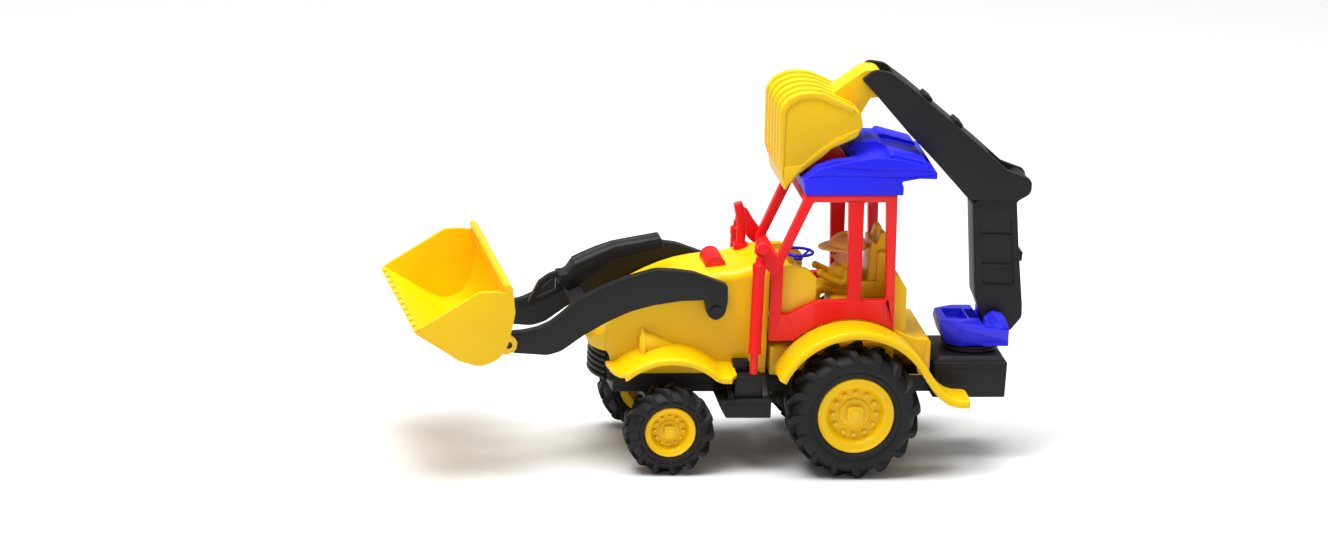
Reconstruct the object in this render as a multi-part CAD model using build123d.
"""Toy backhoe loader: a large push-along tractor with a front loader and a rear digger arm.

The model is drawn in the axle frame: X forward from the rear axle, Y to the vehicle's left,
Z up from the ground. Every node is then shifted by ORIGIN_X, so that the part's origin is the
bottom centre of its box. Lengths are in millimetres.
"""
import os
from math import cos, radians, sin

from build123d import *

# Overall layout
ORIGIN_X = 112.5          # axle frame X of the part's origin
WHEELBASE = 153.8
BUCKET_TIP_X = 377.1      # foremost point, the loader bucket's lip
PIN_CLEARANCE = 0.05      # radial running clearance on every hinge pin and axle

# Wheels
REAR_R = 55.5
REAR_WIDTH = 44.0
REAR_TRACK = 135.0
FRONT_R = 37.5
FRONT_WIDTH = 27.0
FRONT_TRACK = 128.0
AXLE_R = 3.0

# Chassis and body
CHASSIS_HALF = 26.0
CHASSIS_BOTTOM = 58.0
CHASSIS_TOP = 76.0
HOOD_HALF = 36.0
HOOD_WALL = 2.5
FENDER_OUT = 70.0
SCREW_PLACES = [(x, y) for x in (-50, 45, 120) for y in (-18, 18)]
HOOD_RADII = [0, 2, 6, 30, 60, 60, 10, 3, 4, 0]
CAB_OUT = 46.0
CAB_IN = 38.5
ROOF_BOTTOM = 235.0
ROOF_HALF = 46.5
STRUT_X, STRUT_Y = 82.6, 54.6
STRUT_FOOT = 82.0

# Driver's place
SEAT_TOP = 138.0
STEER_X, STEER_Z = 39.6, 172.0
HAT_X, HAT_Z = -1.7, 176.8
HAT_R = 16.4
HAT_RISE = 11.5

# Loader
LIFT_X, LIFT_Z = 115.2, 134.0
TILT_X, TILT_Z = 289.9, 106.6
ARM_IN = 38.3
ARM_OUT = 46.8
BUCKET_HALF = 94.0
EAR_IN = 47.4
EAR_OUT = 52.0
LOADER_PIN_R = 3.0

# Digger
SWING_X = -110.0
BOOM_X, BOOM_Z = -130.0, 114.0
ELBOW_X, ELBOW_Z = -142.0, 232.7
DIG_X, DIG_Z = -15.0, 322.0
BOOM_HALF = 12.0
DIPPER_IN = 12.4
DIPPER_OUT = 17.4
DIG_HALF = 36.0
DIG_TURN = 1.5            # degrees that the digger bucket stands forward of its drawn outline
DIGGER_PIN_R = 3.5
RING_TOP = 96.3
LID_TOP = 90.2
SPIGOT_R = 6.0
SPIGOT_END = 70.0


# ---------------------------------------------------------------- helpers

def plate(points, y0, y1, radii=0.0):
    """A flat plate: an X-Z outline, with rounded corners, from Y = y0 to Y = y1."""
    if radii:
        outline = FilletPolyline(*points, radius=radii, close=True)
    else:
        outline = Polyline(*points, close=True)
    solid = extrude(make_face(outline), y1 - y0, dir=(0, 0, 1))
    return Pos(0, y1, 0) * Rot(90, 0, 0) * solid


def rod(x, z, radius, y0, y1):
    """A round bar along Y."""
    return Pos(x, (y0 + y1) / 2, z) * Rot(90, 0, 0) * Cylinder(radius, y1 - y0)


def post(x, y, z0, z1, radius):
    """A round bar along Z."""
    return Pos(x, y, (z0 + z1) / 2) * Cylinder(radius, z1 - z0)


def block(x0, x1, y0, y1, z0, z1):
    """A box between two corners."""
    centre = Pos((x0 + x1) / 2, (y0 + y1) / 2, (z0 + z1) / 2)
    return centre * Box(x1 - x0, y1 - y0, z1 - z0)


def polar(x, z, radius, degrees):
    """A point at an angle about (x, z), counted from +X towards +Z."""
    return (x + radius * cos(radians(degrees)), z + radius * sin(radians(degrees)))


def mirrored(solid):
    """The same part for the right-hand side."""
    return mirror(solid, about=Plane.XZ)


def turned(solid, x, z, degrees):
    """The part turned about a Y axis at (x, z); positive lifts its +X side."""
    return Pos(x, 0, z) * Rot(0, -degrees, 0) * Pos(-x, 0, -z) * solid


def spun(profile):
    """A solid of revolution about Y from (radius, y) points."""
    return revolve(make_face(Polyline(*profile, close=True)), Axis.Y, 360)


# ---------------------------------------------------------------- wheels

def tyre(radius, width, bead, lug_depth, lug_count, lug_thick):
    """A tyre centred on the origin: a rounded carcass with two rows of slanted lugs."""
    half = width / 2
    tread = radius - lug_depth
    carcass = spun([
        (bead, -half + 3), (bead + 4, -half), (tread - 7, -half), (tread, -half + 6),
        (tread, half - 6), (tread - 7, half), (bead + 4, half), (bead, half - 3),
    ])
    envelope = Rot(90, 0, 0) * Cylinder(radius, width - 1.0)
    lugs = []
    pitch = 360.0 / lug_count
    for side in (-1, 1):
        for i in range(lug_count):
            lug = Pos(tread + lug_depth / 2 - 1.5, side * half * 0.52, 0)
            lug = lug * Rot(side * 32, 0, 0) * Box(lug_depth + 5, half * 1.25, lug_thick)
            angle = 90 + pitch * (i + (0.5 if side > 0 else 0.0))
            lugs.append(Rot(0, angle, 0) * lug)
    core = Rot(90, 0, 0) * Cylinder(tread - 3, width + 2)
    tread_lugs = (Part() + lugs) & envelope
    return carcass + (tread_lugs - core)


def rim(bead, width, side, bolts, hub_inner):
    """A dished yellow rim with a ring of bolt heads, its hub bored for the axle."""
    half = width / 2
    lip = half - 3.0
    dish = half - 11.0
    body = spun([
        (AXLE_R + PIN_CLEARANCE, hub_inner), (9.0, hub_inner), (9.0, dish - 4),
        (bead - 6, dish - 4), (bead - 6, -lip), (bead, -lip), (bead, lip),
        (bead - 3.5, lip), (bead - 6.0, dish + 3), (bead * 0.72, dish), (9.5, dish),
        (9.0, dish + 4.5), (AXLE_R + PIN_CLEARANCE, dish + 4.5),
    ])
    cap = Pos(0, dish + 5.75, 0) * Rot(90, 0, 0) * Cylinder(7.5, 2.5)
    heads = []
    for i in range(bolts):
        x, z = polar(0, 0, bead * 0.56, 360.0 * i / bolts)
        heads.append(rod(x, z, bead * 0.05, dish - 1, dish + 1.6))
    solid = body + cap + heads
    return solid if side > 0 else mirrored(solid)


def wheels():
    rear = tyre(REAR_R, REAR_WIDTH, 32.4, 4.6, 18, 5.5)
    front = tyre(FRONT_R, FRONT_WIDTH, 21.5, 3.4, 16, 3.8)
    nodes = {}
    for name, side in (("left", 1), ("right", -1)):
        rear_at = Pos(0, side * REAR_TRACK / 2, REAR_R)
        front_at = Pos(WHEELBASE, side * FRONT_TRACK / 2, FRONT_R)
        nodes[f"rear_tyre_{name}"] = rear_at * (rear if side > 0 else mirrored(rear))
        nodes[f"front_tyre_{name}"] = front_at * (front if side > 0 else mirrored(front))
        nodes[f"rear_rim_{name}"] = rear_at * rim(32.4, REAR_WIDTH, side, 12, -20.0)
        nodes[f"front_rim_{name}"] = front_at * rim(21.5, FRONT_WIDTH, side, 12, -12.0)
    return nodes


# ---------------------------------------------------------------- chassis

def chassis_frame():
    """The black floor frame that carries both axles and the rear box."""
    frame = block(-74, 196, -CHASSIS_HALF, CHASSIS_HALF, CHASSIS_BOTTOM, CHASSIS_TOP)
    frame += block(-12, 12, -40, 40, 46, CHASSIS_BOTTOM + 2)
    frame += plate([(136, 60), (171, 60), (163, 28), (145, 28)], -44, 44, [0, 0, 3, 3])
    frame += block(74, 98, -HOOD_HALF - 0.2, HOOD_HALF + 0.2, CHASSIS_BOTTOM, CHASSIS_TOP)
    holes = [rod(0, REAR_R, AXLE_R, -45, 45), rod(WHEELBASE, FRONT_R, AXLE_R, -50, 50)]
    for x, y in SCREW_PLACES:
        holes.append(post(x, y, CHASSIS_BOTTOM - 1, CHASSIS_BOTTOM + 2, 3.4))
    return frame - holes


def axle(x, z, reach):
    return rod(x, z, AXLE_R, -reach, reach)


def step_box():
    """A black step box: a sloped base with two narrower steps on it."""
    base = plate([(68, 47), (106, 47), (113.5, 63.5), (68, 63.5)], HOOD_HALF + 0.2, 65, 0.8)
    middle = block(76, 98.5, HOOD_HALF + 0.2, 60, 63, STRUT_FOOT)
    top = block(85, 98.5, HOOD_HALF + 0.2, 48, STRUT_FOOT - 1, 91)
    return base + middle + top


def rear_box():
    """The black box behind the rear wheels, with a shoulder round its top."""
    body = plate([(-74, 55.4), (-135.8, 55.4), (-136.7, 86.2), (-74, 86.2)], -35, 35)
    return body - post(SWING_X, 0, SPIGOT_END - 1, 90, SPIGOT_R + PIN_CLEARANCE)


def rear_box_lid():
    """The raised lid that the digger's ring turns on."""
    lid = Pos(-105.5, 0, 86.2) * extrude(Rectangle(60, 66), LID_TOP - 86.2, taper=35)
    return lid - post(SWING_X, 0, 80, LID_TOP + 1, SPIGOT_R + PIN_CLEARANCE)


def turntable_ring():
    """The black ring under the turret, with the spigot that it swings on."""
    spigot = post(SWING_X, 0, SPIGOT_END, LID_TOP + 0.3, SPIGOT_R)
    return post(SWING_X, 0, LID_TOP + 0.3, RING_TOP, 24.0) + spigot


def body_screws():
    """Six self-tapping screws that hold the chassis under the body."""
    screws = []
    for x, y in SCREW_PLACES:
        screws.append(post(x, y, CHASSIS_BOTTOM + 0.4, CHASSIS_BOTTOM + 2, 3.0))
    return Compound(children=screws)


# ---------------------------------------------------------------- hood and fenders

def hood_outline(inset):
    """The hood's side outline, shrunk by inset."""
    return [
        (69.3 + inset, CHASSIS_TOP), (69.3 + inset, 171 - inset), (80, 172 - inset),
        (98, 165 - inset), (140, 160 - inset), (175, 144 - inset), (205, 123.5 - inset),
        (214 - inset, 101 - inset), (207 - inset, 96 - inset), (200 - inset, CHASSIS_TOP),
    ]


def hood_filled():
    """The hood's outer volume, which also trims what stands on the hood."""
    return plate(hood_outline(0.0), -HOOD_HALF, HOOD_HALF, HOOD_RADII)


def hood():
    """A yellow hood shell, open below, with a lip over the grille."""
    shell = hood_filled()
    top_edges = shell.edges().filter_by(
        lambda e: abs(abs(e.center().Y) - HOOD_HALF) < 0.01 and e.center().Z > 112
        and e.center().X > 75)
    shell = fillet(top_edges, 4.0)
    inner = [0, 0, 4, 28, 57, 57, 6, 0, 2, 0]
    shell -= plate(hood_outline(HOOD_WALL), -HOOD_HALF + HOOD_WALL, HOOD_HALF - HOOD_WALL, inner)
    shell -= block(194, 220, -30.2, 30.2, 60, 93.2)
    return shell


def front_fender():
    """A flared front fender with its headlight pod, on the left of the hood."""
    outer = 62.0
    inner = 56.5
    start, end = 38, 143
    arch = [polar(WHEELBASE, FRONT_R, outer, a) for a in (start, 90, end)]
    under = [polar(WHEELBASE, FRONT_R, inner, a) for a in (end, 90, start)]
    outline = Wire([
        Edge.make_three_point_arc(*arch),
        Edge.make_line(arch[2], under[0]),
        Edge.make_three_point_arc(*under),
        Edge.make_line(under[2], arch[0]),
    ])
    solid = extrude(make_face(outline.edges()), FENDER_OUT - HOOD_HALF, dir=(0, 0, 1))
    fender = Pos(0, FENDER_OUT, 0) * Rot(90, 0, 0) * solid
    pod = loft([
        Pos(174.6, 0, 0) * Rot(0, 90, 0) * Rot(0, 0, 90) * make_face(Polyline(
            (HOOD_HALF, 95), (49, 93), (47, 104), (HOOD_HALF, 115), close=True)),
        Pos(142, 0, 0) * Rot(0, 90, 0) * Rot(0, 0, 90) * make_face(Polyline(
            (HOOD_HALF, 96), (40, 96), (39, 99), (HOOD_HALF, 101), close=True)),
    ])
    return fender + pod


def front_grille():
    """The black ribbed grille below the hood's lip."""
    body = block(196, 205, -30, 30, 66, 93)
    ribs = [Pos(205, 0, z) * Rot(90, 0, 0) * Cylinder(1.8, 60) for z in range(69, 93, 5)]
    return body + ribs


def air_cleaner():
    """A red drum lying across the hood top."""
    drum = Pos(112, 0, 164) * Rot(90, 0, 0) * Cylinder(8.5, 36)
    foot = block(104, 120, -15, 15, 150, 162)
    return (drum + foot) - hood_filled()


def exhaust_stack():
    """A red collar and pipe on the right of the hood, its top bent forward."""
    collar = post(85, -22, 150, 174, 6.2)
    path = FilletPolyline((85, -22, 173), (85, -22, 196), (89.5, -22, 208), radius=20)
    pipe = sweep(Plane(path @ 0, z_dir=(0, 0, 1)) * Circle(3.9), path=path)
    return (collar + pipe) - hood_filled()


# ---------------------------------------------------------------- cab

def cab_frame():
    """The left cab side: pillars, rails and the arch over the rear wheel, in one moulding."""
    arch = [polar(0, REAR_R, 71.6, a) for a in (48, 85, 120)]
    outline = Wire([
        Edge.make_line(arch[2], (-33.0, ROOF_BOTTOM)),
        Edge.make_line((-33.0, ROOF_BOTTOM), (43.8, ROOF_BOTTOM)),
        Edge.make_line((43.8, ROOF_BOTTOM), (68.9, 173.4)),
        Edge.make_line((68.9, 173.4), (68.9, 108.0)),
        Edge.make_line((68.9, 108.0), arch[0]),
        Edge.make_three_point_arc(*arch),
    ])
    solid = extrude(make_face(outline.edges()), CAB_OUT - CAB_IN, dir=(0, 0, 1))
    frame = Pos(0, CAB_OUT, 0) * Rot(90, 0, 0) * solid
    front_window = [
        (60.3, 131), (60.3, 176), (37.6, 228.5), (7.8, 228.5), (4.0, 143.3), (30, 142.6),
        (54, 130.8),
    ]
    rear_window = [(-5.2, 228.5), (-24.0, 228.5), (-28.2, 143.3), (-6.8, 143.3)]
    frame -= plate(front_window, CAB_IN - 1, CAB_OUT + 1, [1, 3, 3, 1.5, 1.5, 20, 3])
    frame -= plate(rear_window, CAB_IN - 1, CAB_OUT + 1, 1.5)
    return frame


def strut_bracket():
    """A flat red bracket that holds the side strut's top pin in front of the cab."""
    outline = [(62, 176), (70, 186), (77, 197), (85, 197), (86, 186), (74, 170), (69, 166)]
    return plate(outline, CAB_OUT, 49.5, [2, 4, 5, 5, 4, 3, 1])


def windscreen_frame():
    """The red cross-members below and above the windscreen."""
    sill = plate([(60.3, 160), (68.9, 160), (68.9, 173.4), (60.3, 176)], -CAB_IN, CAB_IN)
    header = plate([(40.5, 228.5), (46.3, 228.5), (43.8, ROOF_BOTTOM), (37.5, ROOF_BOTTOM)],
                   -CAB_IN, CAB_IN)
    return Compound(children=[sill, header])


def rear_crossbar():
    """The red cross-member at the top of the cab's rear window."""
    return block(-33, -25, -CAB_IN, CAB_IN, 226, ROOF_BOTTOM)


def roof():
    """The blue roof: a crowned shell with a forward brow and a rear spoiler."""
    outline = [
        (45, ROOF_BOTTOM), (47, 247), (33, 258.5), (16, 262), (-12, 268), (-34, 266), (-60, 259),
        (-65, 255), (-65, 249), (-46, 243), (-38, ROOF_BOTTOM),
    ]
    body = plate(outline, -ROOF_HALF, ROOF_HALF, [1, 3, 6, 20, 10, 20, 4, 1.5, 1.5, 8, 1])
    slot = plate([(60, 246), (24, 256), (8, 258.5), (8, 275), (60, 275)], -30, 30)
    under = block(-28, 36, -CAB_IN + 1, CAB_IN - 1, ROOF_BOTTOM - 1, 247)
    body = body - slot - under
    fin = plate([(8, 262), (-8, 272), (-16, 273), (-22, 262)], -14, 14, [1, 4, 3, 1])
    return body + fin


def roof_lamp():
    """A red lamp set between the roof's front rails."""
    return plate([(42, 251), (24, 256), (8, 258.5), (10, 266), (22, 265), (38, 257)], -22, 22,
                 [1, 0, 0, 2, 4, 2])


def side_strut():
    """A red telescopic strut in front of the cab: its barrel, with the eye on top, and its rod."""
    barrel = post(STRUT_X, STRUT_Y, 100, 178, 5.2)
    neck = post(STRUT_X, STRUT_Y, 178, 188, 3.2)
    eye = rod(80.4, 191.4, 4.6, 49.5, 57.5)
    return barrel + neck + eye, post(STRUT_X, STRUT_Y, STRUT_FOOT, 100, 3.4)


def dashboard():
    """The yellow console below the windscreen."""
    outline = [
        (60.0, 112), (60.0, 158), (52, 168), (34, 146), (30, 140), (30, 112),
    ]
    return plate(outline, -CAB_IN + 0.2, CAB_IN - 0.2, [1, 4, 4, 8, 2, 1])


def steering_column():
    """A yellow column between the dashboard and the steering wheel's hub."""
    return post(STEER_X, 0, 140, STEER_Z - 6.8, 3.2) - dashboard()


def steering_wheel():
    """A blue steering wheel: three spokes slope down from the ring to the hub."""
    ring = Torus(12.0, 1.3)
    hub = Pos(0, 0, -5.2) * Cylinder(4.0, 3.0)
    spokes = []
    for a in (90, 210, 330):
        spokes.append(Rot(0, 0, a) * Pos(7.4, 0, -2.5) * Rot(0, -29, 0) * Box(10.4, 2.2, 1.8))
    return Pos(STEER_X, 0, STEER_Z) * (ring + hub + spokes)


# ---------------------------------------------------------------- seat and driver

def rear_body():
    """The yellow tub between the rear wheels: floor, side walls, rear wall and rear deck."""
    floor = plate([(-62, CHASSIS_TOP), (66, CHASSIS_TOP), (66, 100), (-62, 100)], -38, 38, 2.0)
    rear_wall = plate([(-47.5, 92), (-34.2, 92), (-34.2, 163), (-39.5, 163), (-46.8, 151)],
                      -38, 38, [1, 1, 2, 2, 3])
    deck = plate([(-68.5, 78), (-46, 78), (-46, 109.5), (-68.5, 109.5)], -44.3, 44.3,
                 [1, 0, 0, 3])
    wall = wheel_house_wall()
    return floor + rear_wall + deck + wall + mirrored(wall)


def rear_fender():
    """The yellow left rear fender: an arch over the wheel that runs out to a rear tail."""
    arch = [polar(0, REAR_R, 71.0, a) for a in (26, 90, 146)]
    under = [polar(0, REAR_R, 67.0, a) for a in (146, 90, 26)]
    outline = Wire([
        Edge.make_three_point_arc(*arch),
        Edge.make_line(arch[2], (-74, 79)),
        Edge.make_line((-74, 79), (-96, 69)),
        Edge.make_line((-96, 69), (-93, 63)),
        Edge.make_line((-93, 63), (-70, 73)),
        Edge.make_line((-70, 73), under[0]),
        Edge.make_three_point_arc(*under),
        Edge.make_line(under[2], arch[0]),
    ])
    solid = extrude(make_face(outline.edges()), 84 - CAB_OUT, dir=(0, 0, 1))
    return Pos(0, 84, 0) * Rot(90, 0, 0) * solid


def wheel_house_wall():
    """The inner wall of the left wheel house, part of the tub."""
    points = [polar(0, REAR_R, 71.0, a) for a in (26, 48, 70, 90, 110, 130, 146)]
    lower = [(-60, 78), (62, 78)]
    return plate(points + lower, 37.0, 44.3) & block(-70, 70, 30, CAB_OUT, 78, 104)


def seat():
    """A yellow seat box with a tall backrest, its top split between cushion and back panel."""
    base = block(-34, 13, -20, 20, 100, SEAT_TOP)
    back = plate([(-34, SEAT_TOP - 2), (-17, SEAT_TOP - 2), (-18.6, 170), (-19.4, 188),
                  (-23, 181), (-26.5, 193), (-31, 194)], -16, 16, [1, 1, 2, 1.5, 1, 1.5, 1.5])
    return base + back


def driver_body():
    """The driver's yellow torso and legs, sitting on the seat."""
    torso = plate([(-12, SEAT_TOP + 0.2), (13, SEAT_TOP + 0.2), (14, 157), (9, 162), (-8, 162),
                   (-12.5, 157)], -11, 11, [1, 1, 4, 3, 3, 4])
    legs = [block(10, 27, s - 4.5, s + 4.5, SEAT_TOP + 0.2, SEAT_TOP + 9.5) for s in (-6, 6)]
    return torso + legs


def driver_arms():
    """Two plain arms that reach towards the steering wheel."""
    arms = []
    for y in (-14.6, 14.6):
        arms.append(plate([(-6, 161), (3, 161), (7, 153), (23, 159), (25, 155), (5, 145),
                           (-3, 147)], y - 3.4, y + 3.4, [2, 2, 1, 1, 1, 2, 2]))
    return Compound(children=arms)


def driver_head():
    """A plain round head on a short neck."""
    return Pos(-0.6, 0, 170) * Sphere(10.4) & block(-30, 20, -20, 20, 162.2, HAT_Z - 0.1)


def hard_hat():
    """An orange hard hat with a brim to the front."""
    cap_r = (HAT_R ** 2 + HAT_RISE ** 2) / (2 * HAT_RISE)
    ball = Pos(HAT_X, 0, HAT_Z + HAT_RISE - cap_r) * Sphere(cap_r)
    dome = ball & block(-30, 30, -20, 20, HAT_Z, HAT_Z + HAT_RISE)
    brim = Pos(HAT_X + 4.1, 0, HAT_Z) * extrude(Ellipse(21.3, 17.0), 2.0)
    return dome + brim


# ---------------------------------------------------------------- loader

def loader_arm():
    """The left loader arm, one flat black moulding with a lobe at its pivot."""
    outline = [
        (289.9, 98.6), (270, 97.4), (256, 96.3), (244.6, 99.8), (226, 113.8), (207, 125.2),
        (188, 134.3), (169, 139.6), (146, 143.4), (125.1, 144), (122.6, 130), (115.2, 126.2),
        (107.8, 131), (106.0, 144), (106.8, 157), (135.5, 167.4), (151, 169.4), (168, 170),
        (192, 163), (214, 154), (232, 143.8), (245, 131.6), (254, 124.2), (264, 119.4),
        (276, 116.6), (289.9, 115.6),
    ]
    radii = [8, 0, 20, 20, 0, 0, 0, 0, 0, 2, 8, 5, 8, 0, 3, 0, 0, 12, 0, 0, 0, 0, 0, 0, 0, 8]
    arm = plate(outline, ARM_IN, ARM_OUT, radii)
    holes = []
    for x, z in ((LIFT_X, LIFT_Z), (TILT_X, TILT_Z)):
        holes.append(rod(x, z, LOADER_PIN_R + PIN_CLEARANCE, ARM_IN - 5, ARM_OUT + 5))
    return arm - holes


def loader_crossbar():
    """The black cross-member that joins the two arms in front of the hood."""
    return plate([(222, 131), (233, 131), (236, 141), (224, 146)], -ARM_IN, ARM_IN, 2.5)


def lift_handle():
    """A black half-tube handle over the hood, for raising the loader, with a loop in front."""
    outline = [
        (224, 146), (236, 141), (243, 147), (243.5, 155), (236, 156), (231, 164), (198, 180),
        (158, 187.5), (154.5, 177), (196, 168),
    ]
    handle = plate(outline, -10, 10, [0, 0, 2, 1, 2, 5, 14, 2, 2, 14])
    loop = plate([(235, 141), (242, 156), (250, 153), (258.5, 146.5), (266.5, 129), (262, 126)],
                 -3, 3, [0, 1, 4, 5, 1.5, 1.5])
    return handle + (loop - plate([(244, 150.5), (249, 149), (255, 143.5), (261.5, 131.5),
                                   (244, 140)], -4, 4, [0, 3, 3, 1, 0]))


def lift_pins():
    """The two pivot pins of the loader arms, standing out of the hood's sides."""
    pins = []
    for side in (-1, 1):
        shaft = rod(LIFT_X, LIFT_Z, LOADER_PIN_R, *sorted((side * HOOD_HALF, side * 47.6)))
        head = rod(LIFT_X, LIFT_Z, 5.0, *sorted((side * 47.1, side * 48.6)))
        pins.append(shaft + head)
    return Compound(children=pins)


def loader_bucket():
    """The wide yellow loader bucket, with toothed lip, side walls and two pivot ears."""
    outer = [
        (BUCKET_TIP_X, 130.2), (351, 114.8), (337, 106.2), (321, 100.2), (304, 107.5),
        (297.5, 120), (292.6, 148.6), (296.5, 163.5), (311.3, 165.5), (324.1, 164.6),
    ]
    shell = plate(outer, -BUCKET_HALF, BUCKET_HALF, [0, 0, 0, 14, 16, 20, 24, 0, 0, 0])
    flange = plate([(292.9, 148), (296.4, 148), (303, 169), (301, 172), (296, 169.5)],
                   -BUCKET_HALF, BUCKET_HALF)
    hollow = [
        (378, 133.6), (350, 118.6), (336, 110.2), (321.5, 104.4), (307, 110), (301.3, 121),
        (296.6, 148.4), (303, 169), (303, 190), (378, 190),
    ]
    shell -= plate(hollow, -BUCKET_HALF + 3.6, BUCKET_HALF - 3.6, [0, 0, 0, 11, 13, 17, 10, 0, 0, 0])
    bucket = shell + flange
    tooth_pitch = 2 * BUCKET_HALF / 12
    for i in range(13):
        y = -BUCKET_HALF + i * tooth_pitch
        slot = plate([(380, 120), (372, 120), (372, 140), (380, 140)], y - 2.4, y + 2.4)
        bucket -= slot
    ear = [
        (306, 101), (291, 98.2), (283.6, 102), (282.6, 110), (288, 114.5), (297, 121), (306, 112),
    ]
    for y0 in (EAR_IN, -EAR_OUT):
        lug = plate(ear, y0, y0 + EAR_OUT - EAR_IN, [0, 4, 5, 4, 2, 0, 0])
        bucket += lug - plate(hollow, -BUCKET_HALF, BUCKET_HALF)
    bucket -= rod(TILT_X, TILT_Z, LOADER_PIN_R, -60, 60)
    return bucket


def bucket_pins():
    """The two pins that hinge the loader bucket on its arms."""
    pins = []
    for side in (-1, 1):
        pins.append(rod(TILT_X, TILT_Z, LOADER_PIN_R, *sorted((side * 37.6, side * EAR_OUT))))
    return Compound(children=pins)


# ---------------------------------------------------------------- digger

def turret():
    """The blue swing turret, with two ears that hold the boom's pin."""
    base = plate([(-82, RING_TOP), (-138.6, RING_TOP), (-138.6, 112), (-120, 117),
                  (-84, 119), (-80, 113)], -27, 27, [6, 1, 2, 2, 6, 4])
    corners = base.edges().filter_by(Axis.Z).sort_by(Axis.X)[-2:]
    if len(corners) == 2:
        base = fillet(corners, 6.0)
    ears = []
    for y0 in (-24, 13.4):
        ears.append(plate([(-139, 98), (-118, 98), (-119, 121), (-126, 125), (-136, 122)],
                          y0, y0 + 10.6, [1, 1, 4, 5, 5]))
    body = base + ears
    body -= block(-150, -106, -13.0, 13.0, RING_TOP + 6.4, 130)
    body -= block(-160, -127, -13.0, 13.0, 90, 130)
    body -= rod(BOOM_X, BOOM_Z, DIGGER_PIN_R, -40, 40)
    return body


def boom():
    """The black boom, a deep bar with a recessed panel and a stop lug."""
    outline = [
        (-103.6, 217.5), (-109.7, 138), (-117.5, 120), (-119.5, 107), (-128, 103.5), (-142, 107.5),
        (-151, 119), (-150.6, 130), (-144.8, 181), (-141.3, 219), (-151, 226), (-152, 238),
        (-143, 243), (-132, 238), (-120, 228),
    ]
    bar = plate(outline, -BOOM_HALF, BOOM_HALF, [3, 10, 3, 4, 5, 4, 6, 0, 0, 3, 6, 7, 7, 4, 4])
    panel = [(-112, 190), (-114.5, 152), (-142, 150), (-138.5, 190)]
    for y0, y1 in ((-BOOM_HALF - 1, -BOOM_HALF + 2), (BOOM_HALF - 2, BOOM_HALF + 1)):
        bar -= plate(panel, y0, y1, 3.0)
    bar += plate([(-144, 168), (-149, 167), (-149.5, 174), (-144, 176)], -8, 8)
    bar -= rod(BOOM_X, BOOM_Z, DIGGER_PIN_R + PIN_CLEARANCE, -20, 20)
    bar -= rod(ELBOW_X, ELBOW_Z, DIGGER_PIN_R + PIN_CLEARANCE, -20, 20)
    return bar


def dipper():
    """The black dipper: two side plates joined along their upper edge, with two lugs."""
    outline = [
        (-3.6, 326), (-15.8, 313.2), (-45.2, 280), (-66.8, 258), (-99.3, 222.7), (-134, 222.2),
        (-142, 222.2), (-152, 228), (-152, 240), (-131, 247.6), (-107, 268.7), (-47, 318),
        (-27, 332.5), (-13.7, 334.5),
    ]
    radii = [1, 0, 0, 0, 2, 0, 5, 7, 6, 0, 0, 0, 8, 6]
    body = plate(outline, -DIPPER_OUT, DIPPER_OUT, radii)
    channel = [
        (6, 322), (-15.8, 300), (-99.3, 210), (-175, 210), (-175, 262), (-128.5, 262),
        (-108.5, 261.5), (-104, 265.6), (-45.4, 313.6), (-30.5, 324.4), (-29.5, 340), (6, 345),
    ]
    body -= plate(channel, -DIPPER_IN, DIPPER_IN)
    for x, z in ((-61, 306), (-88, 284)):
        lug = Pos(x, 0, z) * Rot(0, -39.5, 0) * Box(9, 20, 9)
        body += lug & plate([(-107, 268.7), (-47, 318), (-56, 327), (-116, 277.7)], -12, 12)
    body -= rod(ELBOW_X, ELBOW_Z, DIGGER_PIN_R, -20, 20)
    body -= rod(DIG_X, DIG_Z, DIGGER_PIN_R, -20, 20)
    return body


def digger_bucket():
    """The yellow ribbed digger bucket with its neck."""
    outer = [
        (58.6, 232.6), (64, 255), (66.3, 304), (60.5, 311), (51.5, 315.9), (43, 317.4),
        (32.8, 316.5), (21.1, 311.8), (-0.5, 302.5), (-3.4, 291), (1.5, 281), (11, 276.2),
        (21.5, 271), (29, 263.5), (40.1, 254.4), (48, 248), (55.2, 238.8),
    ]
    radii = [1, 8, 8, 0, 0, 0, 0, 0, 4, 3, 4, 0, 6, 0, 0, 2, 0]
    shell = plate(outer, -DIG_HALF + 2, DIG_HALF - 2, radii)
    hollow = [
        (55.5, 234), (60.2, 255.6), (62.4, 302), (57.6, 308), (50.4, 312.4), (42.6, 313.8),
        (33.6, 312.9), (22.4, 308.3), (3, 300), (0, 292), (-14, 280), (0, 240), (30, 225),
    ]
    rounding = [0, 8, 6, 0, 0, 0, 0, 0, 4, 0, 0, 0, 0]
    shell -= plate(hollow, -DIG_HALF + 5.2, DIG_HALF - 5.2, rounding)
    ribs = []
    band = plate([(62.0, 246), (65.8, 256), (68.2, 305), (62, 313.2), (52.3, 318), (43, 319.4),
                  (32.3, 318.5), (20.3, 313.8), (6, 307.5), (8, 303), (22.4, 308.8),
                  (33.6, 313.2), (42.6, 314.2), (50.4, 312.8), (57.8, 308.6), (62.6, 302),
                  (60.4, 256)],
                 -DIG_HALF, DIG_HALF, 0.4)
    rib_width = 3.2
    rib_count = 6
    for i in range(rib_count):
        y = (2 * DIG_HALF - rib_width) * (i / (rib_count - 1) - 0.5)
        ribs.append(band & block(-30, 80, y - rib_width / 2, y + rib_width / 2, 200, 330))
    neck = plate([(-26, 318), (-20, 333), (-6, 333), (22, 311), (12, 300), (-3, 291),
                  (-12, 309), (-24, 311)], -DIPPER_IN + 0.4, DIPPER_IN - 0.4,
                 [4, 8, 6, 2, 1, 1, 2, 4])
    neck -= plate(hollow, -DIG_HALF, DIG_HALF)
    bucket = shell + ribs + neck
    bucket -= rod(DIG_X, DIG_Z, DIGGER_PIN_R + PIN_CLEARANCE, -20, 20)
    return turned(bucket, DIG_X, DIG_Z, DIG_TURN)


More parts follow.
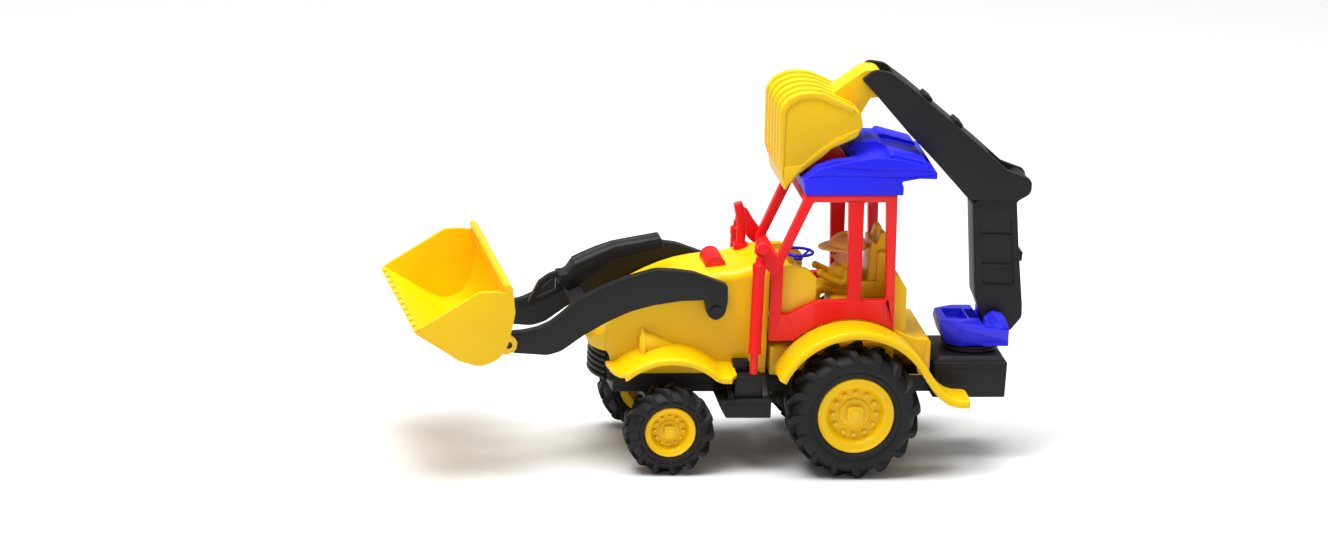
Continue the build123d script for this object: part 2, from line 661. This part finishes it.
def digger_pin(x, z, half):
    return rod(x, z, DIGGER_PIN_R, -half, half)


# ---------------------------------------------------------------- assembly

def nodes():
    """Every sub-part by name, in the axle frame."""
    parts = wheels()
    barrel, strut_rod = side_strut()
    parts.update({
        "chassis_frame": chassis_frame(),
        "rear_axle": axle(0, REAR_R, REAR_TRACK / 2 + 14.5),
        "front_axle": axle(WHEELBASE, FRONT_R, FRONT_TRACK / 2 + 5.5),
        "body_screws": body_screws(),
        "rear_box": rear_box(),
        "rear_box_lid": rear_box_lid(),
        "turntable_ring": turntable_ring(),
        "hood": hood(),
        "front_grille": front_grille(),
        "air_cleaner": air_cleaner(),
        "exhaust_stack": exhaust_stack(),
        "windscreen_frame": windscreen_frame(),
        "rear_crossbar": rear_crossbar(),
        "roof": roof(),
        "roof_lamp": roof_lamp(),
        "dashboard": dashboard(),
        "steering_column": steering_column(),
        "steering_wheel": steering_wheel(),
        "rear_body": rear_body(),
        "seat": seat(),
        "driver_body": driver_body(),
        "driver_arms": driver_arms(),
        "driver_head": driver_head(),
        "hard_hat": hard_hat(),
        "loader_crossbar": loader_crossbar(),
        "lift_handle": lift_handle(),
        "lift_pins": lift_pins(),
        "loader_bucket": loader_bucket(),
        "bucket_pins": bucket_pins(),
        "turret": turret(),
        "boom_pin": digger_pin(BOOM_X, BOOM_Z, 24.0),
        "boom": boom(),
        "elbow_pin": digger_pin(ELBOW_X, ELBOW_Z, DIPPER_OUT),
        "dipper": dipper(),
        "dipper_pin": digger_pin(DIG_X, DIG_Z, DIPPER_OUT),
        "digger_bucket": digger_bucket(),
    })
    pairs = {
        "front_fender": front_fender(), "rear_fender": rear_fender(),
        "step_box": step_box(), "cab_frame": cab_frame(),
        "strut_bracket": strut_bracket(), "strut_barrel": barrel, "strut_rod": strut_rod,
        "loader_arm": loader_arm(),
    }
    for name, solid in pairs.items():
        parts[name + "_left"] = solid
        parts[name + "_right"] = mirrored(solid)
    return parts


os.makedirs("parts", exist_ok=True)
for node, shape in nodes().items():
    export_step(Pos(-ORIGIN_X, 0, 0) * shape, f"parts/{node}.step")
